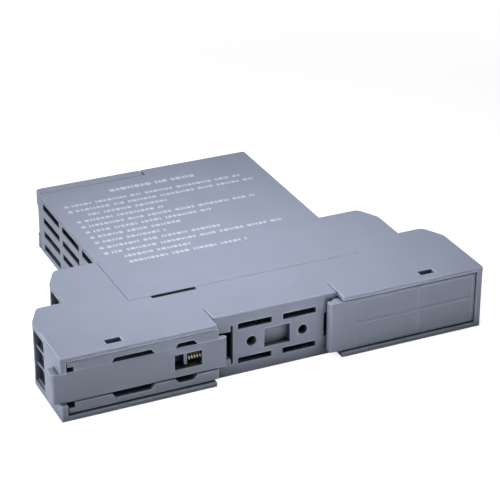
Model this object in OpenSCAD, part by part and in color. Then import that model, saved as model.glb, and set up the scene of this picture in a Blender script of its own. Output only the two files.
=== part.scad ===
// Signal isolator that clips onto a 35 mm mounting rail.
// X runs along the rail side, Y from the rail seat to the front, Z through the thickness.
// The origin is the middle of the rail seat, half way between the broad faces.

/* [Housing] */
// Overall length along the rail side
length = 133.2; // [120:0.2:150]
// Thickness between the two broad faces
thickness = 20; // [19.5:0.5:24]
// Depth from the rail seat to the front face
front_depth = 103; // [94:0.5:120]
// Depth from the rail seat to the roof of the lower tier
lower_roof = 26.4; // [25:0.2:29]
// Depth from the rail seat to the roof of the upper tier
upper_roof = 46.3; // [43:0.1:50]
// Length of the step from the lower tier to the upper tier
lower_step = 12.1; // [11:0.1:13.4]
// Length of the step from the upper tier to the hood
upper_step = 17.4; // [16:0.1:20]
// Depth from the rail seat to the foot of the hood's seam
seam_depth = 19.9; // [18:0.1:21]
// Thickness of the broad walls
wall = 1.4; // [1.2:0.05:1.5]
// Thickness of the end walls
end_wall = 1.8; // [1.5:0.1:2.1]
// Length of a tier's chamfer along the rail side
chamfer_w = 3.7; // [3:0.1:4.5]
// Depth of a tier's chamfer
chamfer_d = 7.1; // [6:0.1:8.5]
// Radius of the corners seen from the broad side
corner_r = 2.4; // [1:0.2:2.6]
// Gap in the seam between hood and base
seam_gap = 0.15; // [0.1:0.05:0.3]

/* [Rail seat] */
// Width of the mounting rail
rail_w = 35; // [34.5:0.1:35.5]
// Room for the rail's flange between the seat and the lips
rail_room = 1.2; // [1.1:0.05:1.5]
// Distance between the two end blocks
recess_w = 40; // [39:0.5:43]
// How far the end blocks stand in front of the rail seat
block_drop = 4; // [3.8:0.1:5]
// Thickness of the seat's floor
floor_t = 1.8; // [1.6:0.1:2.4]
// Middle of the pattern of slots and holes in the floor
floor_pattern_x = 0.75; // [0:0.05:1]
// Length of a floor slot
floor_slot_l = 10.7; // [9:0.1:11.5]
// Width of a floor slot
floor_slot_w = 1.9; // [1.5:0.1:2.5]
// Distance between floor slots along the rail side
floor_slot_dx = 14.2; // [13:0.1:15]
// Distance between floor slots through the thickness
floor_slot_dz = 11.2; // [10.5:0.1:12]
// Distance between the two round holes
floor_hole_dx = 16.4; // [15.5:0.1:17]
// Radius of the round holes
floor_hole_r = 1.55; // [1.2:0.05:1.8]
// Length of the middle pocket
floor_pocket_l = 8.2; // [7:0.1:9]
// Height of the middle pocket
floor_pocket_h = 6.1; // [5:0.1:7]
// Depth of the middle pocket
floor_pocket_d = 2.5; // [1.5:0.1:2.7]
// Thickness of the middle pocket's walls
floor_pocket_wall = 1.2; // [1:0.1:1.4]
// Height of the opening beside the foot
foot_opening_h = 9; // [8.4:0.1:10]
// Distance from the left block to the far edge of that opening
foot_opening_l = 6.7; // [6:0.1:7]
// Height of the relief slit at the far edge of that opening
relief_h = 12.6; // [11:0.2:13]
// Width of the relief slit
relief_w = 0.75; // [0.5:0.05:0.9]
// Height of the opening beside the hook
hook_opening_h = 7.8; // [6:0.2:9]
// Distance from the right block to the far edge of that opening
hook_opening_l = 4.3; // [3:0.1:5]
// Width of the slits beside the rail seat
slit_w = 0.35; // [0.2:0.05:0.5]
// Length of the slits beside the rail seat
slit_l = 6; // [4:0.5:8]
// Depth of the slits beside the rail seat
slit_d = 0.8; // [0.4:0.1:1]

/* [Inserts] */
// Depth of the insert pockets behind the rail seat
insert_d = 3.5; // [3.3:0.1:4]
// How far the foot guide's face lies behind the block's front
guide_set_back = 0.75; // [0.6:0.05:1]
// How far the hook panel's face lies behind the block's front
panel_set_back = 0.6; // [0.4:0.05:0.9]
// Gap between the inserts and the rail seat
insert_gap = 0.4; // [0.3:0.05:0.5]
// Gap along the inserts' sides
insert_side_gap = 0.6; // [0.5:0.05:0.75]
// Gap at the inserts' outer ends
insert_end_gap = 0.3; // [0.2:0.05:0.5]
// Gap at the foot guide's outer end
guide_end_gap = 0.6; // [0.5:0.05:0.8]
// Distance from the middle to the middle of a snap window
snap_x = 49.5; // [48:0.1:51]
// Length of a snap window
snap_l = 4.7; // [4:0.1:5]
// Depth of a snap window
snap_d = 2.5; // [2:0.1:2.7]
// How far the snap bumps stand out of the inserts
bump_h = 1.05; // [0.95:0.05:1.25]
// Grip of the fixed hook on the rail
hook_bite = 1.4; // [1.2:0.1:1.8]
// Height of the fixed hook
hook_h = 16; // [14.5:0.1:16.2]
// Radius of the hook's front edge
hook_r = 0.8; // [0.4:0.1:1]
// Length of the hook's root beside the rail
hook_root = 0.7; // [0.5:0.1:1]
// Gap between the hook and the rail seat
hook_gap = 0.3; // [0.2:0.05:0.4]
// Wall thickness of the inserts
insert_wall = 1.3; // [1:0.1:1.5]
// Thickness of the hook panel
panel_t = 1.6; // [1.3:0.1:1.8]
// Thickness of the ribs on the hook panel
panel_rib = 0.8; // [0.7:0.1:1.2]
// Depth of the panel's four sunk fields
field_d = 0.15; // [0.1:0.05:0.3]
// Distance from the panel's inner edge to its fields
field_inset = 4.4; // [3.5:0.1:5]
// Distance from the panel's inner edge to the rib between its fields
field_split = 25.3; // [22:0.1:28]

/* [Foot] */
// Grip of the foot on the rail
foot_bite = 1.1; // [0.8:0.1:1.5]
// Height of the sliding foot
foot_h = 9.4; // [9:0.1:9.8]
// Thickness of the sliding foot
foot_t = 4.4; // [4.2:0.1:4.5]
// How far the foot's face lies behind the guide's face
foot_set_back = 0.55; // [0.4:0.05:0.7]
// How far the foot stands out of the end wall
foot_tab = 2.3; // [1.8:0.1:4]
// Radius of the foot's outer edges
foot_edge_r = 1; // [0.5:0.1:1.5]
// Radius of the edges of the foot's tip
foot_tip_r = 0.4; // [0.2:0.05:0.6]
// Travel of the foot
foot_travel = 2.4; // [1.8:0.1:2.6]
// Sliding gap round the foot
foot_gap = 0.3; // [0.25:0.05:0.35]
// Gap between the foot's lip and the rail
foot_lip_gap = 0.1; // [0.05:0.05:0.2]
// How far the foot's lip reaches past the end block's edge
foot_lip_root = 0.5; // [0.3:0.05:0.8]
// Height of the foot's side flanges
flange_h = 1.1; // [0.8:0.1:1.1]
// Thickness of the foot's side flanges
flange_t = 1.9; // [1.5:0.1:2]
// Distance from the foot's window to its flanges
flange_inset = 0.7; // [0.5:0.1:1.2]
// Distance from the foot's back to its flanges
flange_back = 0.3; // [0.2:0.05:0.4]
// Length of the foot's window
foot_window_l = 8.5; // [8:0.1:9]
// Height of the foot's window
foot_window_h = 4.8; // [4.4:0.1:5]
// Distance from the foot's tip to its window
foot_window_x = 7.5; // [7:0.1:8.5]
// Length of the spring at rest
spring_l = 6.6; // [6.3:0.1:6.8]
// Length of the spring that shows in the foot's window
spring_shown = 4.4; // [4.2:0.1:4.8]
// Outer diameter of the spring
spring_d = 3.2; // [3:0.1:3.3]
// Gap round the spring
spring_gap = 0.2; // [0.15:0.05:0.25]
// Diameter of the spring's wire
wire_d = 0.45; // [0.4:0.05:0.5]
// Number of turns of the spring
spring_turns = 7; // [5:0.5:7]
// Thickness of the spring's fixed tab
tab_t = 0.9; // [0.8:0.1:1.2]
// How far the spring's fixed tab lies behind the foot's face
tab_set_back = 1; // [0.6:0.1:1.5]
// Gap between the fixed tab and the sides of the window
tab_gap = 0.7; // [0.35:0.05:0.9]
// Depth of the notches in the guide strips
notch_d = 1.45; // [1.2:0.05:1.7]
// Distance from the middle to the middle of the long notches
long_notch_x = 44.95; // [43:0.05:46]
// Length of the long notches
long_notch_l = 11.7; // [10:0.1:13]
// Distance from the middle to the middle of the short notches
short_notch_x = 29; // [28:0.1:31]
// Length of the short notches
short_notch_l = 5.6; // [4.5:0.1:6.5]
// Slope at the ends of the notches
notch_slope = 0.6; // [0.2:0.1:1]
// Radius of the notches' corners
notch_r = 0.2; // [0.1:0.05:0.5]
// Chamfer at the notches' mouths
notch_chamfer = 0.5; // [0.3:0.1:0.6]
// Length of the step at the guide's outer end
guide_step_l = 1.8; // [1.2:0.1:2.4]
// Height of the step at the guide's outer end
guide_step_h = 1.5; // [0.8:0.1:1.6]
// How far the guide strips stand into the rail recess
guide_nose = 0.8; // [0.5:0.1:1.2]

/* [Terminals] */
// Distance between terminal poles
pitch = 5.4; // [5.2:0.05:5.45]
// Thickness of the bars between the wire windows
bar_t = 0.7; // [0.6:0.05:0.9]
// How far the housing's windows reach past the wire windows towards the roof
window_rise = 1.7; // [1:0.1:1.8]
// Height of the recess in front of the bars
bar_recess_h = 16.4; // [16:0.1:16.8]
// How far the bars lie behind the end face
bar_set_back = 0.8; // [0.3:0.1:1]
// Distance from the roof to the wire windows
window_drop = 9.9; // [9.5:0.1:10.5]
// Depth of the wire windows
window_d = 6.6; // [6:0.1:7]
// Depth of the wire funnel in the block
funnel_l = 3; // [2.5:0.1:3.2]
// How far a clamp cage stands above the wire windows
cage_rise = 2.7; // [2.4:0.1:3]
// Thickness of a clamp cage's sides
cage_wall = 0.6; // [0.5:0.05:0.7]
// Thickness of a clamp cage's threaded roof
cage_roof = 1.6; // [1.3:0.1:1.8]
// Radius of the clamp screw's shank
screw_r = 1.5; // [1.25:0.05:1.5]
// Radius of the clamp screw's head
head_r = 1.9; // [1.8:0.05:2]
// Height of the clamp screw's head
head_h = 1.8; // [1.4:0.1:2]
// Thickness of the seat between the screw's head and the cage
head_floor = 1.6; // [1.3:0.1:1.9]
// Width of the slot in the screw's head
slot_w = 0.6; // [0.4:0.05:0.8]
// Depth of the slot in the screw's head
slot_d = 0.7; // [0.5:0.05:0.9]
// Distance from the top of the wire windows to the contact strips
strip_drop = 1.2; // [1:0.1:1.5]
// Width of a contact strip
strip_w = 1.6; // [1.2:0.1:1.6]
// Thickness of a contact strip
strip_t = 0.8; // [0.6:0.05:0.9]

/* [Hood] */
// Radius of the hood's front corner
front_r = 0.6; // [0.4:0.1:1.5]
// Thickness of the hood's end walls
hood_wall = 1.5; // [1.3:0.1:1.7]
// How far the hood's end walls reach below the upper roof
hood_lap = 3.3; // [2.5:0.1:4]
// Distance from the front to the top of the vents
vent_top = 7.7; // [7:0.1:9]
// Length of a vent slot
vent_l = 15.2; // [13:0.2:15.6]
// Width of a vent slot
vent_w = 2.1; // [1.3:0.1:2.3]
// Distance between vent slots along the depth
vent_dy = 18.1; // [17.5:0.1:19]
// Distance between vent slots through the thickness
vent_dz = 4.8; // [4.5:0.1:4.9]
// Thickness of the hood's end walls round the vent slots
vent_skin = 0.9; // [0.8:0.05:1]
// Length of the latch slot beside the seam
latch_l = 14; // [11:0.5:15]
// Width of the latch slot
latch_w = 1.45; // [1.3:0.05:1.7]
// Distance from the hood's left end to the middle of the latch slot
latch_inset = 13.6; // [12.5:0.1:16]
// Thickness of the latch tongue
tongue_t = 1.2; // [1:0.1:1.4]
// How far the latch tongue reaches beyond its slot
tongue_reach = 3; // [2.6:0.1:3.4]
// Length of the barb at the latch tongue's end
barb_l = 1.4; // [1.2:0.1:1.6]
// Height of the barb
barb_h = 0.6; // [0.5:0.05:0.7]
// Length of the latch tongue's root in the hood
tongue_root = 6; // [4:0.5:8]

/* [Flap] */
// Thickness of the flap
flap_t = 3.6; // [3.4:0.1:4.2]
// Thickness of the flap's shell
flap_shell = 1.3; // [1:0.1:1.5]
// Gap behind the flap
flap_gap = 0.3; // [0.2:0.05:0.4]
// Distance from the middle to the flap's free end
flap_end = 0.8; // [0.6:0.1:2]
// Gap at the flap's free end
flap_end_gap = 0.5; // [0.4:0.05:0.8]
// Radius of the hinge pin
pin_r = 0.75; // [0.6:0.05:0.8]
// How far the hinge pin's ends lie below the flap's faces
pin_inset = 0.9; // [0.9:0.1:1.4]
// Thickness of the flap's skin over the upper end of the hinge pin
pin_skin = 0.6; // [0.4:0.1:0.6]
// Height of the hood's hinge knuckle
knuckle_h = 10; // [8:0.5:12]
// Gap round the hinge knuckle
knuckle_gap = 0.3; // [0.25:0.05:0.4]

/* [Board] */
// Thickness of the circuit board
board_t = 1.6; // [1.2:0.2:1.6]
// Gap between the board and the broad wall
board_gap = 0.5; // [0.4:0.05:0.6]
// Gap between the board's sides and the hood
board_side_gap = 0.6; // [0.4:0.1:1]
// Distance from the board's end to the front ledge
board_end_gap = 5.6; // [5:0.1:7]
// Thickness of the posts that hold the board's corners
post_t = 1.5; // [1.2:0.1:1.8]
// Grip of the posts on the board
post_lip = 1; // [0.8:0.1:1.2]
// Depth of a header
header_l = 4.8; // [4.4:0.1:5.4]
// Height of a header along the board
header_h = 4.4; // [3.6:0.2:4.8]
// Distance from the board's edge to a header
header_inset = 0.7; // [0.5:0.1:1]
// Thickness of a header's floor and rim
header_wall = 0.6; // [0.5:0.1:0.9]

/* [Circuit] */
// Depth of the transformer's middle
transformer_y = 58; // [56:0.5:64]
// Length of the transformer's core
core_l = 17; // [15:0.5:20]
// Depth of the transformer's core
core_d = 13; // [12:0.5:14]
// Height of the transformer's core
core_h = 9; // [8:0.5:11]
// Thickness of the core's legs
core_leg = 2.6; // [2.2:0.1:3]
// Radius of the winding
winding_r = 3; // [2.4:0.1:3.4]
// Thickness of the bobbin's flanges
bobbin_flange = 0.7; // [0.5:0.1:1]
// How far the bobbin's flanges stand out of the winding
bobbin_rim = 1; // [0.5:0.1:1.5]
// Distance from the middle to the controller chip
controller_x = 18; // [16:0.5:22]
// Depth of the controller chip's middle
controller_y = 50; // [48:0.5:60]
// Size of the controller chip
controller_w = 9; // [7:0.5:10]
// Height of the controller chip
controller_h = 1.6; // [1.2:0.1:2]
// Distance between the controller's leads
controller_pitch = 0.8; // [0.65:0.05:0.85]
// Number of leads along a side of the controller
controller_leads = 10; // [6:1:10]
// Distance from the middle to a coupler chip
coupler_x = 8; // [7:0.5:10]
// Depth of the coupler chips' middle
coupler_y = 38; // [36:0.5:42]
// Length of a coupler chip
coupler_l = 10.3; // [9.5:0.1:11]
// Depth of a coupler chip
coupler_d = 7.5; // [6.5:0.5:8.5]
// Height of a coupler chip
coupler_h = 2.4; // [2:0.1:2.8]
// Distance between the couplers' leads
coupler_pitch = 1.27; // [1:0.01:1.27]
// Number of leads along a side of a coupler
coupler_leads = 8; // [4:1:8]
// Width of the chips' leads
lead_w = 0.4; // [0.3:0.05:0.5]
// How far the chips' leads reach out
lead_reach = 1; // [0.8:0.1:1.3]
// Gap between the chips and the board
chip_stand = 0.15; // [0.1:0.05:0.3]
// Distance from the board's edge to the capacitors
capacitor_inset = 13; // [6:0.5:15]
// Depth of the first capacitor
capacitor_y = 54; // [52:0.5:60]
// Distance between the capacitors
capacitor_pitch = 8; // [7:0.5:10]
// Radius of a capacitor
capacitor_r = 3.15; // [2.5:0.05:3.4]
// Height of a capacitor
capacitor_h = 7.7; // [5:0.1:10]
// Distance from the middle to the inductor
inductor_x = 20; // [18:0.5:24]
// Depth of the inductor's middle
inductor_y = 42; // [41:0.5:46]
// Size of the inductor
inductor_w = 6; // [5:0.5:7]
// Height of the inductor
inductor_h = 3.2; // [2.5:0.1:5]
// Radius of the inductor's corners
inductor_r = 1; // [0.5:0.1:1.5]
// Distance from the middle to the middle of the light pipes
pipe_x = 14; // [12:0.5:24]
// Distance between the light pipes
pipe_dx = 8; // [6:0.5:12]
// Radius of a light pipe
pipe_r = 1.25; // [1:0.05:1.5]
// How far the light pipes stand out of the front
pipe_proud = 0.3; // [0.1:0.05:0.5]
// Height of a light pipe's axis above the board
pipe_rise = 2.2; // [1.8:0.1:3]
// Width of a status lamp
led_w = 2; // [1.6:0.1:2.4]
// Length of a status lamp
led_l = 3; // [2.5:0.1:4]
// Gap between a status lamp and its light pipe
led_gap = 0.2; // [0.1:0.05:0.5]
// Distance from the middle to the programming socket
socket_x = 18; // [14:0.5:24]
// Width of the programming socket
socket_w = 8; // [7:0.5:10]
// Height of the programming socket
socket_h = 4.6; // [4:0.2:6]
// Length of the programming socket
socket_l = 10; // [9:0.5:14]
// Thickness of the socket's back
socket_back = 4; // [2:0.5:6]
// Thickness of the socket's shell
socket_shell = 0.6; // [0.4:0.05:0.8]

/* [Fits] */
// Clearance of pieces that slide together
fit = 0.2; // [0.15:0.05:0.25]
// Radial clearance of turning pins
pin_fit = 0.05; // [0.03:0.01:0.08]
// Radial clearance of seated pins and screws
seat_fit = 0.02; // [0.01:0.01:0.04]

/* [Hidden] */
$fn = 48;
SIDES = [-1, 1];
TIERS = [0, 1];
POLES = [-1, 0, 1];
VENT_ROWS = [-1.5, -0.5, 0.5, 1.5];
VENT_COLUMNS = [0, 1, 2];
LEFT = -1;
RIGHT = 1;
LOWER = 0;
UPPER = 1;

// Overlap that makes a cut run past a face, or a piece run into its carrier
over = 1;

// Colours
plastic = [0.60, 0.63, 0.71];
insert_plastic = [0.55, 0.58, 0.66];
terminal_plastic = [0.42, 0.45, 0.52];
black_plastic = [0.12, 0.12, 0.13];
brass = [0.78, 0.62, 0.30];
steel = [0.75, 0.76, 0.78];
copper = [0.76, 0.50, 0.26];
board_green = [0.10, 0.32, 0.20];
ferrite = [0.20, 0.20, 0.22];
aluminium = [0.66, 0.67, 0.70];
clear_plastic = [0.90, 0.93, 0.95];

// Main faces of the housing
end_x = length / 2;
upper_x = end_x - lower_step;
hood_x = upper_x - upper_step;
hood_right = hood_x + seam_gap - seat_fit;
half_t = thickness / 2;
inner_t = half_t - wall;
recess_x = recess_w / 2;
block_y = -block_drop;
back_y = insert_d + wall;
tier_x = [end_x, upper_x];
tier_y = [lower_roof, upper_roof];

// Terminal bays, measured from a tier's end face and roof
bay_l = lower_step - end_wall;
bay_h = lower_roof - back_y;
bay_floor_upper = upper_roof - bay_h;
partition_x = hood_x + seam_gap;
bay_inner_x = upper_x - end_wall - bay_l;
block_near = end_wall + fit;
block_far = end_wall + bay_l - fit;
block_half = inner_t - fit;
window_half = (pitch - bar_t) / 2;
window_foot = window_drop + window_d;
window_top = window_drop - window_rise;
cage_near = block_near + funnel_l + fit;
cage_far = block_far - wall - fit;
cage_half = window_half - fit;
cage_top = window_drop - cage_rise;
cage_bottom = window_foot + cage_wall;
screw_x = (cage_near + cage_far) / 2;
head_seat = cage_top - head_floor;
strip_top = window_drop + strip_drop;

// Insert pockets and the sprung foot
insert_end = end_x - end_wall - insert_end_gap;
insert_half = inner_t - insert_side_gap;
guide_end = end_x - end_wall - guide_end_gap;
insert_back = insert_d - fit;
guide_face = block_y + guide_set_back;
panel_face = block_y + panel_set_back;
lip_y = -rail_room;
foot_face = guide_face + foot_set_back;
foot_back = foot_face + foot_t;
flange_mid = foot_back - flange_back - flange_t / 2;
foot_half = foot_h / 2;
foot_tip = -(rail_w / 2 - foot_bite);
foot_end = -(end_x + foot_tab);
hook_tip = rail_w / 2 - hook_bite;
window_right = foot_tip - foot_window_x;
window_left = window_right - foot_window_l;
spring_left = window_right - spring_shown;
spring_right = spring_left + spring_l;
spring_y = foot_back - spring_gap - spring_d / 2;
spring_room = spring_d / 2 + spring_gap;
channel_half = foot_half + foot_gap;
groove_half = channel_half + flange_h;
flange_right = window_right - flange_inset;
flange_left = -(end_x - end_wall) + foot_travel + insert_gap + foot_gap;

// Hood and flap
flap_rest = front_depth - flap_t;
ledge_y = flap_rest - flap_gap;
hinge_r = flap_t / 2;
hinge_x = -hood_x + hinge_r;
hinge_y = front_depth - hinge_r;
knuckle_r = hinge_r - knuckle_gap;
knuckle_half = knuckle_h / 2;
step_x = -flap_end + flap_end_gap;
hood_foot = upper_roof - hood_lap;
latch_x = -hood_x + latch_inset;
latch_y = seam_depth - seam_gap - latch_w / 2;

// Board
board_low = -inner_t + board_gap;
board_face = board_low + board_t;
board_x = hood_x - hood_wall - board_side_gap;
board_end = ledge_y - wall - board_end_gap;
header_out = board_x - header_inset;
header_in = header_out - header_l;
strip_end = header_in + 2 * header_wall;
strip_y = [for (tier = TIERS) tier_y[tier] - strip_top - strip_t / 2];
post_top = strip_y[LOWER] - header_h / 2 - insert_end_gap;
led_y = board_end - led_gap - led_l;
pipe_z = board_face + pipe_rise;
PIPE_X = [pipe_x - pipe_dx / 2, pipe_x + pipe_dx / 2];

// Points that round the corner b between a and c with radius r
function corner(a, b, c, r, steps = 6) =
    r == 0 ? [b] :
    let (
        u = (a - b) / norm(a - b),
        v = (c - b) / norm(c - b),
        half = acos(u * v) / 2,
        mid = b + (u + v) / norm(u + v) * r / sin(half),
        p = b + u * r / tan(half) - mid,
        q = b + v * r / tan(half) - mid,
        from = atan2(p.y, p.x),
        turn = (atan2(q.y, q.x) - from + 540) % 360 - 180
    )
    [for (i = [0:steps]) mid + r * [cos(from + turn * i / steps), sin(from + turn * i / steps)]];

// Outline from a list of [x, y, radius] corners
function rounded(list) = [
    for (i = [0:len(list) - 1])
        let (
            a = list[(i + len(list) - 1) % len(list)],
            b = list[i],
            c = list[(i + 1) % len(list)]
        )
        each corner([a.x, a.y], [b.x, b.y], [c.x, c.y], b.z)
];

function mirrored(list) = [for (i = [len(list) - 1:-1:0]) [-list[i].x, list[i].y, list[i].z]];

// A box between two corners
module block(low, high) {
    translate(low) cube(high - low);
}

// An outline in X and Y, extruded half way to each side
module slab(points, half) {
    translate([0, 0, -half]) linear_extrude(2 * half) polygon(points);
}

// A cylinder along Y
module rod(r, h) {
    rotate([-90, 0, 0]) cylinder(r = r, h = h);
}

// Places children on the left or the right end
module on_end(side) {
    mirror([side < 0 ? 1 : 0, 0, 0]) children();
}

// Places children towards one broad face or the other
module on_face(side) {
    mirror([0, 0, side < 0 ? 1 : 0]) children();
}

// Places children at a tier's end face and roof, with X pointing outward
module at_tier(side, tier) {
    on_end(side) translate([tier_x[tier], tier_y[tier], 0]) children();
}

// Places children at each pole of a terminal block
module at_poles() {
    for (pole = POLES)
        translate([0, 0, pole * pitch]) children();
}

// The outline of the base seen from the broad side
function base_half() = [
    [recess_x, 0, 0],
    [recess_x, block_y, 0],
    [end_x, block_y, 0],
    [end_x, lower_roof - chamfer_d, corner_r],
    [end_x - chamfer_w, lower_roof, corner_r],
    [upper_x, lower_roof, 0],
    [upper_x, upper_roof - chamfer_d, corner_r],
    [upper_x - chamfer_w, upper_roof, corner_r],
    [partition_x, upper_roof, 0],
    [partition_x, seam_depth - seam_gap, 0]
];

module base_outline() {
    slab(rounded(concat(base_half(), mirrored(base_half()))), half_t);
}

// The room inside the base, open towards the hood
module base_cavity() {
    block([-recess_x + wall, floor_t, -inner_t], [recess_x - wall, seam_depth + over, inner_t]);
    cavity_x = upper_x - end_wall;
    block([-cavity_x, back_y, -inner_t], [cavity_x, bay_floor_upper - wall, inner_t]);
    for (side = SIDES)
        on_end(side)
            block(
                [partition_x + wall, back_y, -inner_t],
                [bay_inner_x - wall, upper_roof - wall, inner_t]
            );
}

// One terminal bay with its wire windows and the slots for the contact strips
module terminal_bay(tier) {
    slot_end = tier == LOWER ? bay_l + 2 * end_wall : upper_x - partition_x;
    block([-end_wall - bay_l, -bay_h, -inner_t], [-end_wall, over, inner_t]);
    block([-bar_set_back, -window_foot, -bar_recess_h / 2], [over, -window_top, bar_recess_h / 2]);
    at_poles() {
        block([-end_wall - over, -window_foot, -window_half], [over, -window_top, window_half]);
        block(
            [-slot_end - over, -strip_top - strip_t - fit, -strip_w / 2 - fit],
            [-end_wall - bay_l + over, -strip_top + fit, strip_w / 2 + fit]
        );
    }
}

// A box round the middle of the floor's pattern, standing out of the pocket's size by a margin
module floor_pocket(from, to, margin) {
    half = [floor_pocket_l / 2 + margin, floor_pocket_h / 2 + margin];
    block([floor_pattern_x - half.x, from, -half.y], [floor_pattern_x + half.x, to, half.y]);
}

// Slots, holes and openings in the floor of the rail seat
module floor_cuts() {
    translate([floor_pattern_x, 0, 0]) {
        for (sx = SIDES, sz = SIDES)
            translate([sx * floor_slot_dx / 2, floor_t / 2, sz * floor_slot_dz / 2])
                cube([floor_slot_l, floor_t + 2 * over, floor_slot_w], center = true);
        for (sx = SIDES)
            translate([sx * floor_hole_dx / 2, -over, 0])
                rod(floor_hole_r, floor_t + 2 * over);
    }
    opening_x = -recess_x + foot_opening_l;
    block(
        [-recess_x + wall, -over, -foot_opening_h / 2],
        [opening_x, floor_t + over, foot_opening_h / 2]
    );
    block([opening_x - relief_w, -over, -relief_h / 2], [opening_x, floor_t + over, relief_h / 2]);
    block(
        [recess_x - hook_opening_l, -over, -hook_opening_h / 2],
        [recess_x - wall, floor_t + over, hook_opening_h / 2]
    );
}

// The pocket of one insert, with its snap windows and the slits beside the rail seat
module insert_cuts() {
    slab([
        [recess_x - over, block_y - over],
        [end_x - end_wall, block_y - over],
        [end_x - end_wall, insert_d],
        [recess_x, insert_d],
        [recess_x, -fit],
        [recess_x - over, -fit]
    ], inner_t);
    translate([snap_x, 0, 0]) cube([snap_l, snap_d, thickness + over], center = true);
    for (side = SIDES)
        on_face(side)
            block(
                [recess_x - 1.5 * slit_w, -over, half_t - slit_d],
                [recess_x - slit_w / 2, slit_l, half_t + over]
            );
}

// Posts that hold the board's lower corners
module board_posts() {
    for (side = SIDES)
        on_end(side)
            difference() {
                block(
                    [board_x - post_lip, back_y - wall / 2, -half_t + wall / 2],
                    [board_x + fit + post_t, post_top, board_face + post_lip]
                );
                block([0, back_y, -half_t], [board_x + fit, post_top + over, board_face + fit / 2]);
            }
}

module base_housing() {
    color(plastic)
    union() {
        difference() {
            base_outline();
            base_cavity();
            floor_cuts();
            floor_pocket(-over, floor_pocket_d, 0);
            for (side = SIDES, tier = TIERS)
                at_tier(side, tier) terminal_bay(tier);
            for (side = SIDES)
                on_end(side) insert_cuts();
            block(
                [-end_x - over, block_y - over, -channel_half],
                [-end_x + end_wall + over, foot_back + foot_gap, channel_half]
            );
            translate([latch_x, latch_y, half_t]) cube([latch_l, latch_w, 2 * wall + over], center = true);
            latch_barb(fit);
        }
        difference() {
            floor_pocket(floor_t / 2, floor_pocket_d + floor_pocket_wall, floor_pocket_wall);
            floor_pocket(-over, floor_pocket_d, 0);
        }
        board_posts();
    }
}

// The hood's outline, stepped back where the flap lies
function hood_outline() = rounded([
    [-hood_x, seam_depth, 0],
    [hood_right, seam_depth, 0],
    [hood_right, front_depth, front_r],
    [step_x, front_depth, 0],
    [step_x, ledge_y, 0],
    [-hood_x, ledge_y, 0]
]);

function hood_cavity() = [
    [-hood_x + hood_wall, seam_depth - over],
    [hood_x - hood_wall, seam_depth - over],
    [hood_x - hood_wall, front_depth - wall],
    [step_x + wall, front_depth - wall],
    [step_x + wall, ledge_y - wall],
    [-hood_x + hood_wall, ledge_y - wall]
];

module vents() {
    for (side = SIDES, column = VENT_COLUMNS, row = VENT_ROWS)
        translate([
            side * hood_x, front_depth - vent_top - vent_l / 2 - column * vent_dy, row * vent_dz
        ])
            cube([2 * hood_wall + over, vent_l, vent_w], center = true);
    field_top = front_depth - vent_top;
    field_l = max(VENT_COLUMNS) * vent_dy + vent_l;
    field_half = max(VENT_ROWS) * vent_dz + vent_w / 2;
    for (side = SIDES)
        on_end(side)
            block(
                [hood_x - hood_wall - over, field_top - field_l, -field_half],
                [hood_x - vent_skin, field_top, field_half]
            );
}

// The barb at the latch tongue's end, or its pocket in the base's broad wall
module latch_barb(room) {
    half_l = latch_l / 2 - fit + room;
    barb_end = latch_y - latch_w / 2 - tongue_reach;
    top = inner_t - fit + barb_h;
    translate([latch_x, 0, 0])
        block(
            [-half_l, barb_end - room, inner_t - fit - tongue_t / 2],
            [half_l, barb_end + barb_l + room, top + room / 2]
        );
}

// The tongue under the base's broad wall, pressed down through the latch slot to free the hood
module latch_tongue() {
    half_l = latch_l / 2 - fit;
    face = inner_t - fit;
    root_y = seam_depth + over;
    translate([latch_x, 0, 0]) {
        block(
            [-half_l, latch_y - latch_w / 2 - tongue_reach, face - tongue_t],
            [half_l, root_y + tongue_root, face]
        );
        block(
            [-half_l, root_y, face - tongue_t],
            [half_l, root_y + tongue_root, inner_t + wall / 2]
        );
    }
    latch_barb(0);
}

module hinge_knuckle() {
    translate([hinge_x, hinge_y, -knuckle_half]) cylinder(r = knuckle_r, h = knuckle_h);
    block(
        [hinge_x - knuckle_r, ledge_y - wall / 2, -knuckle_half],
        [hinge_x + knuckle_r, hinge_y, knuckle_half]
    );
}

module hood() {
    color(plastic)
    difference() {
        union() {
            difference() {
                slab(hood_outline(), half_t);
                slab(hood_cavity(), inner_t);
                block(
                    [-hood_x - over, seam_depth - over, -inner_t],
                    [hood_x + over, hood_foot, inner_t]
                );
            }
            latch_tongue();
            hinge_knuckle();
        }
        vents();
        translate([hinge_x, hinge_y, -half_t]) cylinder(r = pin_r + seat_fit, h = thickness);
        block(
            [-socket_x - socket_w / 2 - fit, ledge_y - wall - over, board_face - fit],
            [-socket_x + socket_w / 2 + fit, ledge_y + over, board_face + socket_h + fit]
        );
        for (x = PIPE_X)
            translate([x, front_depth - wall - over, pipe_z]) rod(pipe_r + pin_fit, wall + 2 * over);
    }
}

module front_flap() {
    knuckle_room = hinge_x + hinge_r + knuckle_gap;
    color(plastic)
    difference() {
        union() {
            translate([hinge_x, hinge_y, -half_t]) cylinder(r = hinge_r, h = thickness);
            block([hinge_x, flap_rest, -half_t], [-flap_end, front_depth, half_t]);
        }
        block(
            [-hood_x - over, flap_rest - over, -knuckle_half - knuckle_gap],
            [knuckle_room, front_depth + over, knuckle_half + knuckle_gap]
        );
        block(
            [knuckle_room + flap_shell, flap_rest - over, -half_t + flap_shell],
            [-flap_end - flap_shell, front_depth - flap_shell, half_t - flap_shell]
        );
        translate([hinge_x, hinge_y, -half_t - over])
            cylinder(r = pin_r + pin_fit, h = thickness - pin_skin + over);
    }
}

module flap_pin() {
    color(steel)
    translate([hinge_x, hinge_y, -half_t + pin_inset]) cylinder(r = pin_r, h = thickness - 2 * pin_inset);
}

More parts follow.
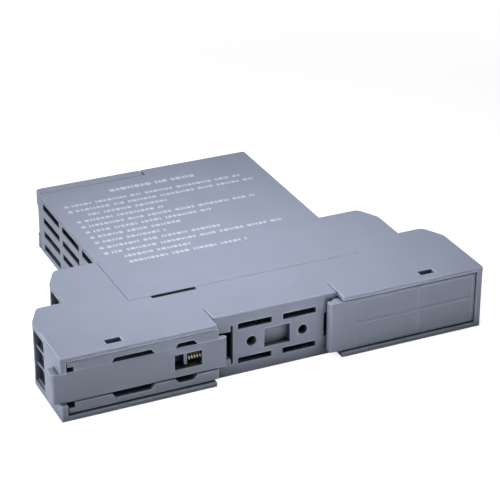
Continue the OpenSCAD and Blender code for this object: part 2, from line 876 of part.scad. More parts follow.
// Bumps that snap into the windows of the broad walls
module snap_bumps() {
    bump_l = snap_l - 2 * fit;
    bump_d = snap_d / 2 - 1.5 * fit;
    for (side = SIDES)
        on_face(side)
            translate([-bump_l / 2, 0, insert_half])
                rotate([90, 0, 90])
                    linear_extrude(bump_l)
                        polygon([
                            [-bump_d, -over / 2],
                            [-bump_d, bump_h],
                            [-bump_d / 3, bump_h],
                            [bump_d / 3, 0],
                            [bump_d / 3, -over / 2]
                        ]);
}

// One notch in a guide strip, wider towards the foot
module guide_notch(x, l) {
    mouth = l / 2 + fit;
    notch_top = channel_half + notch_d;
    translate([-x, foot_back, 0])
        rotate([90, 0, 0])
            linear_extrude(foot_back - guide_face + over)
                polygon(rounded([
                    [-mouth - notch_chamfer, channel_half - over, 0],
                    [mouth + notch_chamfer, channel_half - over, 0],
                    [mouth + notch_chamfer, channel_half, 0],
                    [mouth, channel_half + notch_chamfer, 0],
                    [l / 2 - notch_slope, notch_top, notch_r],
                    [-l / 2 + notch_slope / 2, notch_top, notch_r],
                    [-mouth, channel_half + notch_chamfer, 0],
                    [-mouth - notch_chamfer, channel_half, 0]
                ]));
}

module foot_guide() {
    guide_right = -recess_x - insert_end_gap;
    color(insert_plastic)
    difference() {
        union() {
            block([-guide_end, guide_face, -insert_half], [guide_right, insert_back, insert_half]);
            block(
                [guide_right - over, guide_face, -insert_half],
                [-recess_x + guide_nose, -insert_gap, insert_half]
            );
            translate([-snap_x, 0, 0]) snap_bumps();
        }
        difference() {
            union() {
                block([-end_x, guide_face - over, -channel_half], [0, foot_back + foot_gap, channel_half]);
                block(
                    [-end_x, flange_mid - flange_t / 2 - foot_gap, -groove_half],
                    [flange_right + foot_gap, flange_mid + flange_t / 2 + foot_gap, groove_half]
                );
            }
            block(
                [spring_left - tab_t, foot_face + tab_set_back, -foot_window_h / 2 + tab_gap],
                [spring_left, insert_back, foot_window_h / 2 - tab_gap]
            );
        }
        for (side = SIDES)
            on_face(side) {
                guide_notch(long_notch_x, long_notch_l);
                guide_notch(short_notch_x, short_notch_l);
                block(
                    [-end_x, guide_face - over, 0],
                    [-guide_end + guide_step_l, insert_back - insert_wall, channel_half + guide_step_h]
                );
            }
    }
}

module foot_slider() {
    lip_root = -recess_x - foot_lip_root;
    lip_back = lip_y - foot_lip_gap;
    color(insert_plastic)
    difference() {
        union() {
            slab(rounded([
                [foot_end, foot_face, foot_edge_r],
                [foot_tip, foot_face, foot_tip_r],
                [foot_tip, lip_back, foot_tip_r],
                [lip_root, lip_back, 0],
                [lip_root, foot_back, 0],
                [foot_end, foot_back, foot_edge_r]
            ]), foot_half);
            block(
                [flange_left, flange_mid - flange_t / 2, -foot_half - flange_h],
                [flange_right, flange_mid + flange_t / 2, foot_half + flange_h]
            );
        }
        block(
            [window_left, foot_face - over, -foot_window_h / 2],
            [window_right, foot_back + over, foot_window_h / 2]
        );
        block(
            [window_right - over, spring_y - spring_room, -spring_room],
            [spring_right, foot_back + over, spring_room]
        );
    }
}

// Points of a ring of wire at a turn of the coil
function wire_ring(turn, x, coil_r, wire_r, sides) = [
    for (k = [0:sides - 1])
        let (r = coil_r + wire_r * cos(360 * k / sides))
        [x + wire_r * sin(360 * k / sides), r * cos(360 * turn), r * sin(360 * turn)]
];

module foot_spring() {
    sides = 6;
    steps = 16;
    end_gap = 0.05;
    rings = floor(spring_turns * steps);
    coil_r = (spring_d - wire_d) / 2;
    inset = wire_d / 2 + end_gap;
    points = [
        for (i = [0:rings])
            each wire_ring(
                i / steps, inset + (spring_l - 2 * inset) * i / rings, coil_r, wire_d / 2, sides
            )
    ];
    walls = [
        for (i = [0:rings - 1], k = [0:sides - 1])
            let (a = i * sides + k, b = i * sides + (k + 1) % sides)
            each [[a, b, b + sides], [a, b + sides, a + sides]]
    ];
    first = [for (k = [1:sides - 2]) [0, k + 1, k]];
    last = [for (k = [1:sides - 2]) [for (n = [0, k, k + 1]) rings * sides + n]];
    color(copper)
    translate([spring_left, spring_y, 0]) polyhedron(points, concat(walls, first, last));
}

// One half of the panel's sunk fields, between two distances from its inner edge
module panel_field(from, to) {
    for (side = SIDES)
        on_face(side)
            block(
                [from, panel_face - over, panel_rib / 2],
                [to, panel_face + field_d, insert_half - panel_rib]
            );
}

module fixed_hook() {
    panel_left = recess_x + insert_gap;
    root = rail_w / 2 + hook_root;
    split = panel_left + field_split;
    color(insert_plastic)
    difference() {
        union() {
            difference() {
                block([panel_left, panel_face, -insert_half], [insert_end, insert_back, insert_half]);
                block(
                    [panel_left + insert_wall, panel_face + panel_t, -insert_half + insert_wall],
                    [insert_end - insert_wall, insert_back + over, insert_half - insert_wall]
                );
            }
            block(
                [panel_left, panel_face + panel_rib, -panel_rib / 2],
                [insert_end, insert_back - panel_rib, panel_rib / 2]
            );
            slab(rounded([
                [hook_tip, panel_face, hook_r],
                [panel_left + panel_rib, panel_face, 0],
                [panel_left + panel_rib, -hook_gap, 0],
                [root, -hook_gap, 0],
                [root, lip_y, 0],
                [hook_tip, lip_y, 0]
            ]), min(hook_h / 2, insert_half));
            translate([snap_x, 0, 0]) snap_bumps();
        }
        panel_field(panel_left + field_inset, split - panel_rib / 2);
        panel_field(split + panel_rib / 2, insert_end - panel_rib);
    }
}

// The outline of a terminal block below its tier's chamfer
function block_outline() = rounded([
    [-block_far, 0, 0],
    [-chamfer_w, 0, corner_r],
    [-block_near, -chamfer_d * (chamfer_w - block_near) / chamfer_w, 0],
    [-block_near, -bay_h, 0],
    [-block_far, -bay_h, 0]
]);

module terminal_block(side, tier) {
    color(terminal_plastic)
    at_tier(side, tier)
        difference() {
            slab(block_outline(), block_half);
            at_poles() {
                block(
                    [-cage_near + fit - over, -window_foot, -window_half],
                    [0, -window_drop, window_half]
                );
                block(
                    [-cage_far - fit, -bay_h - over, -cage_half - fit / 2],
                    [-cage_near + fit, -cage_top + fit, cage_half + fit / 2]
                );
                block(
                    [-block_far - over, -strip_top - strip_t - fit, -strip_w / 2 - fit],
                    [-cage_far, -strip_top + fit, strip_w / 2 + fit]
                );
                translate([-screw_x, -head_seat, 0]) rod(head_r + fit, head_seat + over);
                translate([-screw_x, -cage_top, 0]) rod(screw_r + fit, cage_top);
            }
        }
}

module clamp_cages(side, tier) {
    roof_y = -cage_top - cage_roof;
    color(brass)
    at_tier(side, tier)
        at_poles()
            difference() {
                block([-cage_far, -cage_bottom, -cage_half], [-cage_near, -cage_top, cage_half]);
                block(
                    [-cage_far - over, -cage_bottom + cage_wall, -cage_half + cage_wall],
                    [-cage_near + over, roof_y, cage_half - cage_wall]
                );
                translate([-screw_x, roof_y - over, 0]) rod(screw_r + seat_fit, cage_roof + 2 * over);
            }
}

module clamp_screws(side, tier) {
    head_top = -head_seat + head_h;
    color(steel)
    at_tier(side, tier)
        at_poles()
            translate([-screw_x, 0, 0])
                difference() {
                    union() {
                        translate([0, -head_seat, 0]) rod(head_r, head_h);
                        translate([0, -strip_top, 0]) rod(screw_r, strip_top + head_top);
                    }
                    translate([0, head_top, 0]) cube([3 * head_r, 2 * slot_d, slot_w], center = true);
                }
}

module contact_strips(side, tier) {
    color(brass)
    at_tier(side, tier)
        at_poles()
            block(
                [strip_end - tier_x[tier], -strip_top - strip_t, -strip_w / 2],
                [-cage_near - fit, -strip_top, strip_w / 2]
            );
}

module header(side, tier) {
    socket_half = [strip_t + fit, strip_w + fit] / 2;
    color(black_plastic)
    on_end(side)
        translate([0, strip_y[tier], 0])
            difference() {
                block(
                    [header_in, -header_h / 2, board_face],
                    [header_out, header_h / 2, pitch + strip_w / 2 + header_wall]
                );
                at_poles()
                    block(
                        [strip_end - fit, -socket_half[0], -socket_half[1]],
                        [header_out + over, socket_half[0], socket_half[1]]
                    );
            }
}

module main_board() {
    color(board_green)
    block([-board_x, back_y, board_low], [board_x, board_end, board_face]);
}

// Two facing halves of the core, a hair apart at the joint
module transformer_core() {
    joint = 0.02;
    color(ferrite)
    translate([0, transformer_y, board_face])
        for (side = SIDES)
            mirror([0, side < 0 ? 1 : 0, 0])
                difference() {
                    block([-core_l / 2, joint, 0], [core_l / 2, core_d / 2, core_h]);
                    block(
                        [-core_l / 2 + core_leg, -over, -over],
                        [core_l / 2 - core_leg, core_d / 2 - core_leg, core_h + over]
                    );
                }
}

module transformer_winding() {
    bobbin_half = core_d / 2 - core_leg - fit;
    flange_half = winding_r + bobbin_rim;
    color(copper)
    translate([0, transformer_y, board_face]) {
        for (side = SIDES)
            mirror([0, side < 0 ? 1 : 0, 0])
                block(
                    [-flange_half, bobbin_half - bobbin_flange, 0],
                    [flange_half, bobbin_half, 2 * flange_half]
                );
        translate([0, -bobbin_half, flange_half]) rod(winding_r, 2 * bobbin_half);
    }
}

// A chip body with a row of leads along two sides, standing on the board
module chip(l, d, h, leads, lead_pitch) {
    block([-l / 2, -d / 2, chip_stand], [l / 2, d / 2, h]);
    for (sy = SIDES, i = [0:leads - 1])
        translate([(i - (leads - 1) / 2) * lead_pitch, sy * d / 2, 0])
            block([-lead_w / 2, -lead_reach, 0], [lead_w / 2, lead_reach, h / 3]);
}

module controller_chip() {
    color(black_plastic)
    translate([-controller_x, controller_y, board_face])
        chip(controller_w, controller_w, controller_h, controller_leads, controller_pitch);
}

module coupler_chips() {
    color(black_plastic)
    for (side = SIDES)
        translate([side * coupler_x, coupler_y, board_face])
            chip(coupler_l, coupler_d, coupler_h, coupler_leads, coupler_pitch);
}

module power_capacitors() {
    color(aluminium)
    for (i = [0:2])
        translate([board_x - capacitor_inset, capacitor_y + i * capacitor_pitch, board_face])
            cylinder(r = capacitor_r, h = capacitor_h);
}

module power_inductor() {
    half = inductor_w / 2;
    outline = [
        [-half, -half, inductor_r], [half, -half, inductor_r],
        [half, half, inductor_r], [-half, half, inductor_r]
    ];
    color(ferrite)
    translate([inductor_x, inductor_y, board_face])
        linear_extrude(inductor_h) polygon(rounded(outline));
}

module status_leds() {
    color(clear_plastic)
    for (x = PIPE_X)
        block([x - led_w / 2, led_y, board_face], [x + led_w / 2, led_y + led_l, pipe_z + led_w / 2]);
}

module light_pipes() {
    start = led_y + led_l + led_gap;
    color(clear_plastic)
    for (x = PIPE_X)
        translate([x, start, pipe_z]) rod(pipe_r, front_depth + pipe_proud - start);
}

module programming_socket() {
    socket_front = ledge_y - wall / 2;
    inner_half = socket_w / 2 - socket_shell;
    color(steel)
    translate([-socket_x, socket_front - socket_l, board_face])
        difference() {
            block([-socket_w / 2, 0, 0], [socket_w / 2, socket_l, socket_h]);
            block(
                [-inner_half, socket_back, socket_shell],
                [inner_half, socket_l + over, socket_h - socket_shell]
            );
        }
}

base_housing();
hood();
front_flap();
flap_pin();
foot_guide();
foot_slider();
foot_spring();
fixed_hook();
terminal_block(LEFT, LOWER);  // terminal_block_left_lower
terminal_block(LEFT, UPPER);  // terminal_block_left_upper
terminal_block(RIGHT, LOWER);  // terminal_block_right_lower
terminal_block(RIGHT, UPPER);  // terminal_block_right_upper
clamp_cages(LEFT, LOWER);  // clamp_cages_left_lower
clamp_cages(LEFT, UPPER);  // clamp_cages_left_upper
clamp_cages(RIGHT, LOWER);  // clamp_cages_right_lower
clamp_cages(RIGHT, UPPER);  // clamp_cages_right_upper
clamp_screws(LEFT, LOWER);  // clamp_screws_left_lower
clamp_screws(LEFT, UPPER);  // clamp_screws_left_upper
clamp_screws(RIGHT, LOWER);  // clamp_screws_right_lower
clamp_screws(RIGHT, UPPER);  // clamp_screws_right_upper
contact_strips(LEFT, LOWER);  // contact_strips_left_lower
contact_strips(LEFT, UPPER);  // contact_strips_left_upper
contact_strips(RIGHT, LOWER);  // contact_strips_right_lower
contact_strips(RIGHT, UPPER);  // contact_strips_right_upper
header(LEFT, LOWER);  // header_left_lower
header(LEFT, UPPER);  // header_left_upper
header(RIGHT, LOWER);  // header_right_lower
header(RIGHT, UPPER);  // header_right_upper
main_board();
transformer_core();
transformer_winding();
controller_chip();
coupler_chips();
power_capacitors();
power_inductor();
status_leds();
light_pipes();
programming_socket();
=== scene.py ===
"""A signal isolator for a 35 mm rail, lying on its broad face in soft studio light."""
import math

import bmesh
import bpy
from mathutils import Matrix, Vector


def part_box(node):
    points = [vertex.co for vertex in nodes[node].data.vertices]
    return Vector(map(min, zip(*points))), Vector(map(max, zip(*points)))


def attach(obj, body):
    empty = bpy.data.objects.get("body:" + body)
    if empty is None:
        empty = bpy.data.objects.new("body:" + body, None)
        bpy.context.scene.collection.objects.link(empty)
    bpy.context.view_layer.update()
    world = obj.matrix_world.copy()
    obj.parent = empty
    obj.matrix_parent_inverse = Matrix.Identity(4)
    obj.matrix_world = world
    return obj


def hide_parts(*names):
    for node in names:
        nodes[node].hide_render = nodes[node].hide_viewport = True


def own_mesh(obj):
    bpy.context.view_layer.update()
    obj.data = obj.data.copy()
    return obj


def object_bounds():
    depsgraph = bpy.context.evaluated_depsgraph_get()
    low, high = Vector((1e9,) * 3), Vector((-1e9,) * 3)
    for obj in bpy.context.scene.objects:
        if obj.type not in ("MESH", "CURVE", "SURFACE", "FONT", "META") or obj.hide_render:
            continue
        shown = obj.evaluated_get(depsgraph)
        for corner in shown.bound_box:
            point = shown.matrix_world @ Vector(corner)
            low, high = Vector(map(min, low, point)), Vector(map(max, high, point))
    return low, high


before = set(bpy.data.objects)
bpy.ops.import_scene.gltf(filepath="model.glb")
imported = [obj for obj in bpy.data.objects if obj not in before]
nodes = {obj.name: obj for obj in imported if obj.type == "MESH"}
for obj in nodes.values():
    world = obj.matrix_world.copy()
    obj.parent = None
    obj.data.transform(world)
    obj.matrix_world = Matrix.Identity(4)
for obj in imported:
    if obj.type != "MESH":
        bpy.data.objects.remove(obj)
cad_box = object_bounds()

MM = 0.001
WHITE = (1, 1, 1, 1)

# The camera, in the part's own frame
CAMERA_PLACE = Vector((-202.38, -419.27, 261.99)) * MM
CAMERA_AZIMUTH = math.radians(-24.87)
CAMERA_ELEVATION = math.radians(26.73)
CAMERA_ROLL = math.radians(0.19)
SENSOR_WIDTH = 36.0
LENS = 133.25

# The floor, whose own glow grows between two distances from the middle
FLOOR_SIZE = 4.0
FLOOR_GLOW = 0.84
FLOOR_GLOW_FAR = 1.0
FLOOR_NEAR = 0.20
FLOOR_FAR = 0.40
FLOOR_SHADE = 0.86
FLOOR_ROUGH = 0.9

# The light: where each soft box stands, what it is turned to, its width, its beam and its power
WORLD_LIGHT = 0.04
KEY_PLACE = (-0.010, 0.029, 0.22)
KEY_AIM = (-0.004, 0.030, 0.0)
KEY_SIZE = 0.13
KEY_SPREAD = math.radians(86)
KEY_POWER = 0.116
BOUNCE_PLACE = (0.05, -0.30, 0.50)
BOUNCE_AIM = (0.05, -0.30, 0.0)
BOUNCE_SIZE = 0.08
BOUNCE_SPREAD = math.radians(50)
BOUNCE_POWER = 2.45
SHEEN_PLACE = (0.24, -0.24, 0.49)
SHEEN_SIZE = 0.15
SHEEN_SPREAD = math.radians(120)
SHEEN_POWER = 0.8
SIDE_PLACE = (-0.70, 0.06, 0.20)
SIDE_SIZE = 0.30
SIDE_SPREAD = math.radians(120)
SIDE_POWER = 0.85
END_PLACE = (-0.30, 0.0, 0.03)
END_AIM = (-0.067, 0.015, 0.0)
END_SIZE = 0.05
END_SPREAD = math.radians(20)
END_POWER = 0.0024

# Rounded edges: the radius, and how much a painted highlight lightens them
HOUSING_EDGE = (0.9 * MM, 1.0)
INSERT_EDGE = (0.6 * MM, 1.5)
HOOK_EDGE = (0.5 * MM, 1.05)
INNER_EDGE = (0.12 * MM, 1.0)
EDGE_SAMPLES = 6
EDGE_BEND = 0.8

# The rail side, where edges are rounder and carry a stronger painted highlight than elsewhere
RAIL_SIDE_Y = 12.0 * MM
RAIL_SIDE_FADE = 2.0 * MM
FAR_SHARE = 0.4

# Painted shade in cavities: how open the darkest and the lightest places are, and if the piece alone counts
CAVITY_REACH = 9.0 * MM
CAVITY_SAMPLES = 6
CAVITY = (0.28, 0.64, False)
VENT_CAVITY = (0.70, 0.98, True)
INSERT_CAVITY = (0.22, 0.54, False)
SPRING_CAVITY = (0.05, 0.40, False)
CAVITY_SHADE = 0.22

# The part of a noise value's range that is used, and its detail
NOISE_LOW = 0.3
NOISE_HIGH = 0.7
NOISE_DETAIL = 2.0

# Colours
HOUSING_COLOUR = (0.375, 0.420, 0.545)
INSERT_COLOUR = (0.352, 0.394, 0.510)
# The terminal blocks: the housing's grey-blue plastic darkened as painted shade
SHADED_TERMINAL_COLOUR = (0.100, 0.114, 0.156)
BLACK_COLOUR = (0.016, 0.016, 0.018)
FERRITE_COLOUR = (0.030, 0.030, 0.034)
INK_COLOUR = (0.68, 0.73, 0.84)
BRASS_COLOUR = (0.60, 0.40, 0.14)
STEEL_COLOUR = (0.58, 0.58, 0.60)
COPPER_COLOUR = (0.84, 0.56, 0.34)
SPRING_COLOUR = (1.0, 0.85, 0.64)
ALUMINIUM_COLOUR = (0.62, 0.63, 0.65)
CLEAR_COLOUR = (0.82, 0.86, 0.88)
BOARD_COLOUR = (0.018, 0.105, 0.045)
BOARD_COLOUR_2 = (0.024, 0.130, 0.058)
TRACK_COLOUR = (0.045, 0.190, 0.090)

# The board's tracks, the metals' gloss about its middle, and the clear plastic
TRACK_SCALE = 180.0
TRACK_WIDTH = 0.08
GLOSS_BELOW = 0.06
GLOSS_ABOVE = 0.08
CLEAR_SHARE = 0.8
CLEAR_INDEX = 1.49

# The hood's seam that hardly shows
TIGHT_SEAM_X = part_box("hood")[1].x
TIGHT_SEAM_REACH = 0.6 * MM

# The print on the hood's broad face: short bars in groups, in rows whose lengths are in millimetres
INK_T = 0.03 * MM
INK_H = 1.5 * MM
INK_GAP = 0.4 * MM
INK_WORD_GAP = 1.5 * MM
INK_WIDTHS = (0.6 * MM, 1.3 * MM, 0.9 * MM, 1.5 * MM, 0.6 * MM)
INK_ROUND = 0.3
BULLET_ROUND = 0.5
INK_STEPS = 3
INK_GROUPS = (5, 8, 3, 7, 9, 4, 6)
INK_LEFT = -30.6 * MM
BULLET_X = -32.4 * MM
BULLET_R = 0.8 * MM
INK_TOP_Y = 86.0 * MM
INK_PITCH = 3.95 * MM
INK_ROWS = (60, 63, 27, 28, 57, 41, 28, 22, 39, 57, 22, 39)
INK_INDENTED = (2, 10, 11)
INK_INDENT = 2.6 * MM
TITLE_Y = 92.1 * MM
TITLE_HALF = 15.4 * MM
TITLE_H = 2.0 * MM
TITLE_PHASE = 1

# The spring's coil
COIL_TURNS = 7.0
COIL_SIDES = 14
COIL_STEPS = 28
COIL_WIRE_R = 0.225 * MM


def add_node(tree, kind, **values):
    """A shader node with its inputs set by name."""
    made = tree.nodes.new(kind)
    for name, value in values.items():
        made.inputs[name.replace("_", " ")].default_value = value
    return made


def grain(tree, scale):
    """Noise in the part's own frame, so that the grain runs on from piece to piece."""
    place = tree.nodes.new("ShaderNodeTexCoord")
    noise = add_node(tree, "ShaderNodeTexNoise", Scale=scale, Detail=NOISE_DETAIL)
    tree.links.new(place.outputs["Object"], noise.inputs["Vector"])
    return noise.outputs["Fac"]


def ranged(tree, value, low, high):
    """A noise value spread between low and high."""
    made = add_node(
        tree, "ShaderNodeMapRange",
        From_Min=NOISE_LOW, From_Max=NOISE_HIGH, To_Min=low, To_Max=high
    )
    tree.links.new(value, made.inputs["Value"])
    return made.outputs["Result"]


def shades(tree, value, dark, light):
    """A colour that a noise value moves between two shades."""
    ramp = tree.nodes.new("ShaderNodeValToRGB")
    stops = ((NOISE_LOW, dark), (NOISE_HIGH, light))
    for element, (position, colour) in zip(ramp.color_ramp.elements, stops):
        element.position = position
        element.color = (*colour, 1)
    tree.links.new(value, ramp.inputs["Fac"])
    return ramp.outputs["Color"]


def place_axes(tree):
    """The place of a point in the part's own frame."""
    place = tree.nodes.new("ShaderNodeTexCoord")
    axes = tree.nodes.new("ShaderNodeSeparateXYZ")
    tree.links.new(place.outputs["Object"], axes.inputs["Vector"])
    return axes.outputs


def math_node(tree, operation, first, second):
    """Two values joined by an operation."""
    made = tree.nodes.new("ShaderNodeMath")
    made.operation = operation
    tree.links.new(first, made.inputs[0])
    tree.links.new(second, made.inputs[1])
    return made.outputs["Value"]


def rail_side(tree):
    """One near the rail, zero farther off."""
    made = add_node(
        tree, "ShaderNodeMapRange",
        From_Min=RAIL_SIDE_Y, From_Max=RAIL_SIDE_Y + RAIL_SIDE_FADE, To_Min=1.0, To_Max=0.0
    )
    tree.links.new(place_axes(tree)["Y"], made.inputs["Value"])
    return made.outputs["Result"]


def rounded_edges(tree, radius, near):
    """The normal of a surface with rounded edges, sharp only along the hood's tight seam."""
    seam = tree.nodes.new("ShaderNodeMath")
    seam.operation = "COMPARE"
    seam.inputs[1].default_value = TIGHT_SEAM_X
    seam.inputs[2].default_value = TIGHT_SEAM_REACH
    tree.links.new(place_axes(tree)["X"], seam.inputs[0])
    open_edge = add_node(tree, "ShaderNodeMapRange", To_Min=1.0, To_Max=0.0)
    tree.links.new(seam.outputs["Value"], open_edge.inputs["Value"])
    size = add_node(tree, "ShaderNodeMapRange", To_Min=FAR_SHARE * radius, To_Max=radius)
    tree.links.new(near, size.inputs["Value"])
    share = math_node(tree, "MAXIMUM", open_edge.outputs["Result"], near)
    made = tree.nodes.new("ShaderNodeBevel")
    made.samples = EDGE_SAMPLES
    tree.links.new(math_node(tree, "MULTIPLY", size.outputs["Result"], share), made.inputs["Radius"])
    return made.outputs["Normal"]


def relief(tree, shader, normal, value, depth):
    """Relief of a given depth on a shader."""
    made = add_node(tree, "ShaderNodeBump", Strength=1.0, Distance=depth)
    tree.links.new(normal, made.inputs["Normal"])
    tree.links.new(value, made.inputs["Height"])
    tree.links.new(made.outputs["Normal"], shader.inputs["Normal"])


def scaled(tree, colour, gain):
    """A colour times a value."""
    made = tree.nodes.new("ShaderNodeVectorMath")
    made.operation = "SCALE"
    tree.links.new(colour, made.inputs[0])
    tree.links.new(gain, made.inputs["Scale"])
    return made.outputs["Vector"]


def painted_edge_highlight(tree, normal, colour, highlight_gain, near):
    """A colour with a painted highlight along rounded edges, most of all near the rail."""
    flat = tree.nodes.new("ShaderNodeNewGeometry")
    turn = tree.nodes.new("ShaderNodeVectorMath")
    turn.operation = "DOT_PRODUCT"
    tree.links.new(normal, turn.inputs[0])
    tree.links.new(flat.outputs["True Normal"], turn.inputs[1])
    bend = add_node(tree, "ShaderNodeMapRange", From_Min=EDGE_BEND, From_Max=1.0, To_Min=1.0, To_Max=0.0)
    tree.links.new(turn.outputs["Value"], bend.inputs["Value"])
    rise = add_node(tree, "ShaderNodeMapRange", To_Min=FAR_SHARE * highlight_gain, To_Max=highlight_gain)
    tree.links.new(near, rise.inputs["Value"])
    gain = tree.nodes.new("ShaderNodeMath")
    gain.operation = "MULTIPLY_ADD"
    gain.inputs[2].default_value = 1.0
    tree.links.new(bend.outputs["Result"], gain.inputs[0])
    tree.links.new(rise.outputs["Result"], gain.inputs[1])
    return scaled(tree, colour, gain.outputs["Value"])


def painted_cavity_shade(tree, colour, cavity):
    """A colour with painted shade that darkens it in cavities."""
    low, high, alone = cavity
    made = add_node(tree, "ShaderNodeAmbientOcclusion", Distance=CAVITY_REACH)
    made.samples = CAVITY_SAMPLES
    made.only_local = alone
    gain = add_node(
        tree, "ShaderNodeMapRange",
        From_Min=low, From_Max=high, To_Min=CAVITY_SHADE, To_Max=1.0
    )
    tree.links.new(made.outputs["AO"], gain.inputs["Value"])
    return scaled(tree, colour, gain.outputs["Result"])


def finish_of(
    name, colour, spread, scale, rough, grain_scale, grain_depth, edge=INNER_EDGE, metallic=0.0, cavity=CAVITY
):
    """A finish whose colour, gloss and relief vary at their own scales, with a painted highlight along
    rounded edges and painted shade in cavities.
    """
    mat = bpy.data.materials.new(name)
    mat.use_nodes = True
    tree = mat.node_tree
    shader = tree.nodes["Principled BSDF"]
    shader.inputs["Metallic"].default_value = metallic
    dark = [c * (1 - spread) for c in colour]
    light = [c * (1 + spread) for c in colour]
    radius, highlight_gain = edge
    near = rail_side(tree)
    normal = rounded_edges(tree, radius, near)
    tint = shades(tree, grain(tree, scale), dark, light)
    # Painted highlight along rounded edges, then painted shade in cavities
    tint = painted_cavity_shade(tree, painted_edge_highlight(tree, normal, tint, highlight_gain, near), cavity)
    tree.links.new(tint, shader.inputs["Base Color"])
    fine = grain(tree, grain_scale)
    tree.links.new(ranged(tree, fine, *rough), shader.inputs["Roughness"])
    relief(tree, shader, normal, fine, grain_depth)
    return mat


def moulded(name, colour, edge=INNER_EDGE, cavity=CAVITY):
    """Matt moulded plastic with a fine spark-eroded grain."""
    return finish_of(
        name, colour, spread=0.025, scale=90.0, rough=(0.38, 0.50), grain_scale=3200.0, grain_depth=0.02 * MM,
        edge=edge, cavity=cavity
    )


def metal(name, colour, rough):
    """Metal with faint drawing marks."""
    gloss = (rough - GLOSS_BELOW, rough + GLOSS_ABOVE)
    return finish_of(
        name, colour, spread=0.06, scale=700.0, rough=gloss, grain_scale=2500.0, grain_depth=0.006 * MM,
        metallic=1.0
    )


def clear(name, colour):
    """Clear plastic with a slight haze."""
    mat = finish_of(
        name, colour, spread=0.02, scale=200.0, rough=(0.08, 0.2), grain_scale=1500.0, grain_depth=0.004 * MM
    )
    shader = mat.node_tree.nodes["Principled BSDF"]
    shader.inputs["Transmission Weight"].default_value = CLEAR_SHARE
    shader.inputs["IOR"].default_value = CLEAR_INDEX
    return mat


def circuit_board():
    """Green board with faint lighter tracks."""
    mat = finish_of(
        "board_green", BOARD_COLOUR, spread=0.1, scale=300.0, rough=(0.3, 0.4), grain_scale=1800.0,
        grain_depth=0.01 * MM
    )
    tree = mat.node_tree
    shader = tree.nodes["Principled BSDF"]
    place = tree.nodes.new("ShaderNodeTexCoord")
    tracks = add_node(
        tree, "ShaderNodeTexBrick",
        Scale=TRACK_SCALE, Mortar_Size=TRACK_WIDTH,
        Color1=(*BOARD_COLOUR, 1), Color2=(*BOARD_COLOUR_2, 1), Mortar=(*TRACK_COLOUR, 1)
    )
    tree.links.new(place.outputs["Object"], tracks.inputs["Vector"])
    tree.links.new(tracks.outputs["Color"], shader.inputs["Base Color"])
    return mat


HOUSING = moulded("housing_plastic", HOUSING_COLOUR, HOUSING_EDGE)
# The housing's plastic again, with stronger painted shade in the vent slots
HOOD = moulded("hood_plastic", HOUSING_COLOUR, HOUSING_EDGE, VENT_CAVITY)
INSERT = moulded("insert_plastic", INSERT_COLOUR, INSERT_EDGE, INSERT_CAVITY)
HOOK = moulded("hook_plastic", INSERT_COLOUR, HOOK_EDGE, INSERT_CAVITY)
TERMINAL = moulded("terminal_plastic", SHADED_TERMINAL_COLOUR)
DARK = moulded("black_plastic", BLACK_COLOUR)
FERRITE = moulded("ferrite", FERRITE_COLOUR)
INK = finish_of(
    "pale_ink", INK_COLOUR, spread=0.06, scale=900.0, rough=(0.5, 0.7), grain_scale=2600.0,
    grain_depth=0.004 * MM
)
BRASS = metal("brass", BRASS_COLOUR, rough=0.30)
STEEL = metal("steel", STEEL_COLOUR, rough=0.30)
COPPER = metal("copper_wire", COPPER_COLOUR, rough=0.25)
SPRING = finish_of(
    "spring_wire", SPRING_COLOUR, spread=0.0, scale=700.0, rough=(0.10, 0.18), grain_scale=2500.0,
    grain_depth=0.002 * MM, metallic=1.0, cavity=SPRING_CAVITY
)
ALUMINIUM = metal("aluminium", ALUMINIUM_COLOUR, rough=0.35)
CLEAR = clear("clear_plastic", CLEAR_COLOUR)
BOARD = circuit_board()

# The finish of each kind of solid, by the start of its name
FINISHES = {
    "base_housing": HOUSING,
    "hood": HOOD,
    "front_flap": HOUSING,
    "flap_pin": STEEL,
    "foot_guide": INSERT,
    "foot_slider": INSERT,
    "foot_spring": SPRING,
    "fixed_hook": HOOK,
    "terminal_block": TERMINAL,
    "clamp_cages": BRASS,
    "clamp_screws": STEEL,
    "contact_strips": BRASS,
    "header": DARK,
    "main_board": BOARD,
    "transformer_core": FERRITE,
    "transformer_winding": COPPER,
    "controller_chip": DARK,
    "coupler_chips": DARK,
    "power_capacitors": ALUMINIUM,
    "power_inductor": FERRITE,
    "status_leds": CLEAR,
    "light_pipes": CLEAR,
    "programming_socket": STEEL,
}


def dress(name, obj):
    """Gives a solid its finish."""
    kind = next(key for key in FINISHES if name.startswith(key))
    obj.data.materials.clear()
    obj.data.materials.append(FINISHES[kind])


def mesh_piece(name, bm, finish, body):
    """A new piece from a bmesh, riding on a body."""
    mesh = bpy.data.meshes.new(name)
    bm.to_mesh(mesh)
    bm.free()
    mesh.materials.append(finish)
    obj = bpy.data.objects.new(name, mesh)
    bpy.context.scene.collection.objects.link(obj)
    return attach(obj, body)


